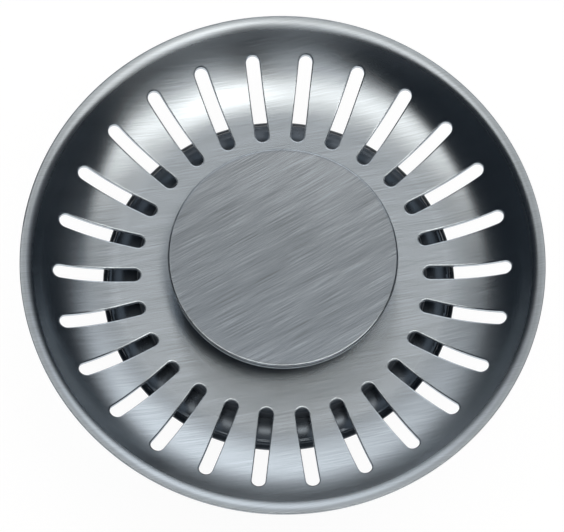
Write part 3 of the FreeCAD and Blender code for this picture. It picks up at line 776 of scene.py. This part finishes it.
# inside of the cross bore: a tube along X between the two mouth planes, with a step at each mouth;
# a row holds its share of the plane's reach, its radius, and its facing along X and inwards
def boreGrid():
    p = post
    ring = mouthCell(1)[0][-1]
    y, z = ring[:, 1] / p["mouth"], (ring[:, 2] - p["ballLevel"]) / p["mouth"]
    right = np.array([(1.0, p["mouth"], -1.0, 0.0), (1.0, p["bore"] - p["boreEdge"], -0.7, 0.7),
                      (0.99, p["bore"], 0.0, 1.0)])
    left = right[::-1] * [-1, 1, -1, 1]
    reach, radius, along, inward = np.concatenate([right, left]).T[..., None]
    points = np.broadcast_arrays(reach * p["mouthPlane"], radius * y, p["ballLevel"] + radius * z)
    return np.stack(points, -1), np.stack(np.broadcast_arrays(along, -inward * y, -inward * z), -1)


def buildPost():
    p = post
    r, e, shankTop, groove = p["radius"], p["edge"], p["shankTop"], p["groove"]
    nose = [(0, p["noseEnd"], 0), (p["noseCorner"], p["noseEnd"], p["noseRound"]), (r, p["catchBase"], e),
            (r, p["catchBase"] + e, 0)]
    shank = [(r, p["catchTop"] - e, 0), (r, p["catchTop"], p["catchEdge"]),
             (groove, p["catchTop"], p["grooveEdge"]), (groove, p["grooveTop"], p["grooveEdge"]),
             (r, p["grooveTop"], e), (r, 0, 0), (r, shankTop - p["chamfer"], p["chamferEdge"]),
             (r - p["chamfer"], shankTop, p["chamferEdge"]), (p["stud"], shankTop, 0)]
    turned = [latheGrid(filletProfile(section, False), p["columns"]) for section in (nose, shank)]
    patches = [*turned, mouthCell(-1), mouthCell(1), boreGrid(), *threadGrid()]
    piece = makePiece("turnedPost", patches, turnedSteel)
    settle(piece, "plug", "turned_steel", "post")


# catch ball: radius times the sphere of two turns, poles on X where the bore hides one of them
ball = {"radius": 2.0, "reach": 3.5101, "level": -9.0, "rows": 40, "columns": 80}


def buildBall(name, side, node):
    half = ray(np.linspace(-np.pi / 2, np.pi / 2, ball["rows"] + 1))
    facing = latheGrid((half,), ball["columns"])[0][..., [2, 0, 1]]
    points = facing * ball["radius"] + [side * ball["reach"], 0, ball["level"]]
    piece = makePiece(name, [(points, facing)], ballSteel)
    settle(piece, node, "ball_steel", node)


# detent spring, one half to each ball: a round wire carried along a helix about X
coil = {"reach": 1.7428, "radius": 1.35, "wire": 0.2, "turns": 3.75, "level": -9.0, "travel": 0.6,
        "rows": 101, "columns": 17}


def buildCoil(name, side):
    share = np.linspace(0, 0.5, coil["rows"]) + (0.5 if side > 0 else 0.0)
    angle = (2 * np.pi * coil["turns"] * share)[:, None]
    climb = 2 * coil["reach"] / (2 * np.pi * coil["turns"])
    flat = np.zeros_like(angle)
    away = np.concatenate([flat, np.cos(angle), np.sin(angle)], 1)
    onward = np.concatenate([flat, -np.sin(angle), np.cos(angle)], 1)
    heading = coil["radius"] * onward + [climb, 0, 0]
    heading /= np.linalg.norm(heading, axis=1, keepdims=True)
    beside = np.cross(heading, away)
    axis = np.concatenate([climb * angle - coil["reach"], flat, flat + coil["level"]], 1)
    centre = away * coil["radius"] + axis
    lap = np.linspace(0, 2 * np.pi, coil["columns"])[None, :, None]
    facing = away[:, None] * np.cos(lap) + beside[:, None] * np.sin(lap)
    wire = centre[:, None] + coil["wire"] * facing
    first = np.stack([np.broadcast_to(centre[0], wire[0].shape), wire[0]])
    last = np.stack([wire[-1], np.broadcast_to(centre[-1], wire[-1].shape)])
    patches = [(wire, facing), (first, -heading[0]), (last, heading[-1])]
    piece = makePiece(name, patches, springSteel)
    settle(piece, "plug", "spring_steel", "detent_spring")
    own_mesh(piece)


for build in (buildDish, buildCap, buildCore, buildGasket, buildCarrier, buildSeal, buildWasher,
              buildLockWasher, buildNut, buildPost):
    build()
buildBall("ballLeft", -1, "ball_left")
buildBall("ballRight", 1, "ball_right")
buildCoil("coilLeft", -1)
buildCoil("coilRight", 1)

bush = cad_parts["knob_bush"]
bush.data.materials.clear()
bush.data.materials.append(bushBrass)
print("pieces: all in place")


# floor: a wide pale disc under the nose, white to the camera and, close by, to the metal,
# with the plug's shadow kept
stage = {"level": -16.0, "rings": (9000.0, 600.0, 60.0, 0.0), "columns": 64, "paper": (0.9, 0.9, 0.9),
         "white": 0.85, "glow": 1.1, "near": 60.0, "far": 200.0}


def buildFloor():
    material, tree, shader, place = newFinish("paleFloor")
    tree.nodes.remove(shader)
    path = addNode(tree, "ShaderNodeLightPath")
    seen = mathNode(tree, "ADD", path["Is Camera Ray"], path["Is Glossy Ray"])
    seen = mathNode(tree, "ADD", seen, path["Is Transmission Ray"], clamp=True)
    away = rise(tree, axisDistance(tree, place)[0], stage["near"] * mm, stage["far"] * mm)
    lost = mathNode(tree, "MULTIPLY", away, path["Is Glossy Ray"])
    power = mathNode(tree, "MULTIPLY_ADD", lost, -stage["glow"], stage["glow"])
    paper = addNode(tree, "ShaderNodeBsdfDiffuse", {"Color": (*stage["paper"], 1.0)})
    glow = addNode(tree, "ShaderNodeEmission", {"Color": (1.0, 1.0, 1.0, 1.0), "Strength": power})
    share = mathNode(tree, "MULTIPLY", seen, stage["white"])
    mix = addNode(tree, "ShaderNodeMixShader", {0: share, 1: paper[0], 2: glow[0]})
    feed(tree, tree.nodes["Material Output"], {"Surface": mix[0]})
    section = np.array([(ring, stage["level"]) for ring in stage["rings"]])
    flat = latheGrid((section, np.broadcast_to([0.0, 1.0], section.shape)), stage["columns"])
    floor = makePiece("floor", [flat], material)


# studio: light by direction, as degrees from overhead towards the back (sweep) and the right (sides);
# a bright box by the camera with a small spot in it and a faint wing in front of it, a low strip in front,
# a faint crown overhead and a broad box behind the plug, dark at the sides
warm, white = (1.05, 1.0, 0.93), (1.0, 1.0, 1.0)
studio = {"key": {"sweep": [(-22, 0), (-20, 0.25), (-15, 0.72), (-10, 1), (-5, 0.92), (0, 0.45), (5, 0.14),
                            (10, 0.03), (13, 0)],
                  "sides": [(-31.5, 0), (-28, 1.5), (-20, 1.68), (-10, 1.73), (0, 1.63), (10, 1.73),
                            (20, 1.78), (25, 1.8), (30, 1.7), (35, 1.45), (39, 0)],
                  "tint": warm},
          "spot": {"sweep": [(-14.5, 0), (-11, 0.85), (-8, 1), (-4, 1), (-1, 0.35), (2, 0)],
                   "sides": [(1, 0), (4, 1.0), (7, 1.45), (11, 1.5), (14, 0.7), (17, 0)],
                   "tint": warm},
          "wing": {"sweep": [(-90, 0.1), (-85, 0.06), (-65, 0.04), (-50, 0.04), (-40, 0.2), (-35, 0.42),
                             (-30, 0.45), (-25, 0.35), (-20, 0.3), (-16, 0)],
                   "sides": [(-22, 0), (-18, 0.2), (-12, 1), (-5, 0.8), (1, 0.6), (4, 0), (11, 0), (14, 0.7),
                             (25, 0.6), (32, 0.3), (40, 0)],
                   "tint": white},
          "front": {"sweep": [(-90, 0.6), (-82, 0.55), (-76, 0.2), (-72, 0.03), (-70, 0)],
                    "sides": [(-45, 0), (-32, 1), (32, 1), (45, 0)],
                    "tint": white},
          "crown": {"sweep": [(2, 0), (6, 0.05), (10, 0.1), (15, 0.11), (20, 0.08), (26, 0.04), (30, 0)],
                    "sides": [(-16, 0), (-10, 1), (3, 1), (9, 0.6), (14, 0)],
                    "tint": white},
          "back": {"sweep": [(12, 0), (20, 0.04), (26, 0.08), (30, 0.28), (35, 0.64), (40, 0.82), (50, 0.8),
                             (55, 0.98), (60, 1.14), (65, 0.92), (70, 0.34), (74, 0.14), (78, 0.15),
                             (85, 0.32), (90, 0.18)],
                   "sides": [(-50, 0), (-40, 0.05), (-35, 0.12), (-30, 0.26), (-25, 0.42), (-20, 0.58),
                             (-10, 0.78), (0, 0.95), (10, 1), (20, 0.92), (25, 0.82), (30, 0.55), (35, 0.22),
                             (40, 0.03), (43, 0)],
                   "tint": white}}
room = {"level": 1.61, "fill": (0.009, 0.0116, 0.0148)}


def buildStudio():
    world = bpy.data.worlds.new("studio")
    bpy.context.scene.world = world
    world.use_nodes = True
    tree = world.node_tree
    place = addNode(tree, "ShaderNodeTexCoord")["Generated"]
    split = addNode(tree, "ShaderNodeSeparateXYZ", {"Vector": place})
    # half a turn, from 90 degrees on one side to 90 on the other, is the curve's 0 to 1
    sweep = mathNode(tree, "ARCTAN2", split["Y"], split["Z"])
    sweep = mathNode(tree, "MULTIPLY_ADD", sweep, 1 / math.pi, 0.5)
    side = mathNode(tree, "MULTIPLY_ADD", mathNode(tree, "ARCSINE", split["X"]), 1 / math.pi, 0.5)

    def curve(stops, value):
        stops = dict([(-90, 0), (90, 0), *stops])  # dark at both ends, unless the stops say otherwise
        top = max(stops.values())
        ramp = tree.nodes.new("ShaderNodeFloatCurve")
        line = ramp.mapping.curves[0]
        while len(line.points) < len(stops):
            line.points.new(0.5, 0.5)
        for point, degrees in zip(line.points, sorted(stops)):
            point.location = (degrees / 180 + 0.5, stops[degrees] / top)
            point.handle_type = "VECTOR"
        ramp.mapping.update()
        feed(tree, ramp, {"Value": value})
        return mathNode(tree, "MULTIPLY", ramp.outputs["Value"], top)

    shown = room["fill"]
    for box in studio.values():
        light = mathNode(tree, "MULTIPLY", curve(box["sweep"], sweep), curve(box["sides"], side))
        shown = [mathNode(tree, "MULTIPLY_ADD", light, *pair) for pair in zip(box["tint"], shown)]
    colour = addNode(tree, "ShaderNodeCombineColor", dict(zip(("Red", "Green", "Blue"), shown)))
    feed(tree, tree.nodes["Background"], {"Color": colour[0], "Strength": room["level"]})


# camera: above the front of the rim, as the picture was taken, with a slight roll
view = {"target": (0.0, 0.0, 25.2), "azimuth": -3.906, "elevation": 71.08, "distance": 909.6, "lens": 368.07,
        "sensor": 36.0, "roll": 3.23, "down": 0.713, "left": 0.126, "nearest": 50.0, "farthest": 50000.0}


def buildCamera():
    a, e = math.radians(view["azimuth"]), math.radians(view["elevation"])
    back = Vector((math.sin(a) * math.cos(e), -math.cos(a) * math.cos(e), math.sin(e)))
    turn = (-back).to_track_quat("-Z", "Y").to_matrix() @ Matrix.Rotation(math.radians(view["roll"]), 3, "Z")
    data = bpy.data.cameras.new("camera")
    data.lens, data.sensor_width = view["lens"], view["sensor"]
    data.clip_start, data.clip_end = view["nearest"] * mm, view["farthest"] * mm
    camera = bpy.data.objects.new("camera", data)
    bpy.context.scene.collection.objects.link(camera)
    aside = turn.col[1] * view["down"] + turn.col[0] * view["left"]
    spot = (Vector(view["target"]) + back * view["distance"] - aside) * mm
    camera.matrix_world = Matrix.Translation(spot) @ turn.to_4x4()
    bpy.context.scene.camera = camera


buildFloor()
buildStudio()
buildCamera()
bpy.context.scene.view_settings.view_transform = "Standard"
print("stage: floor, studio and camera set")
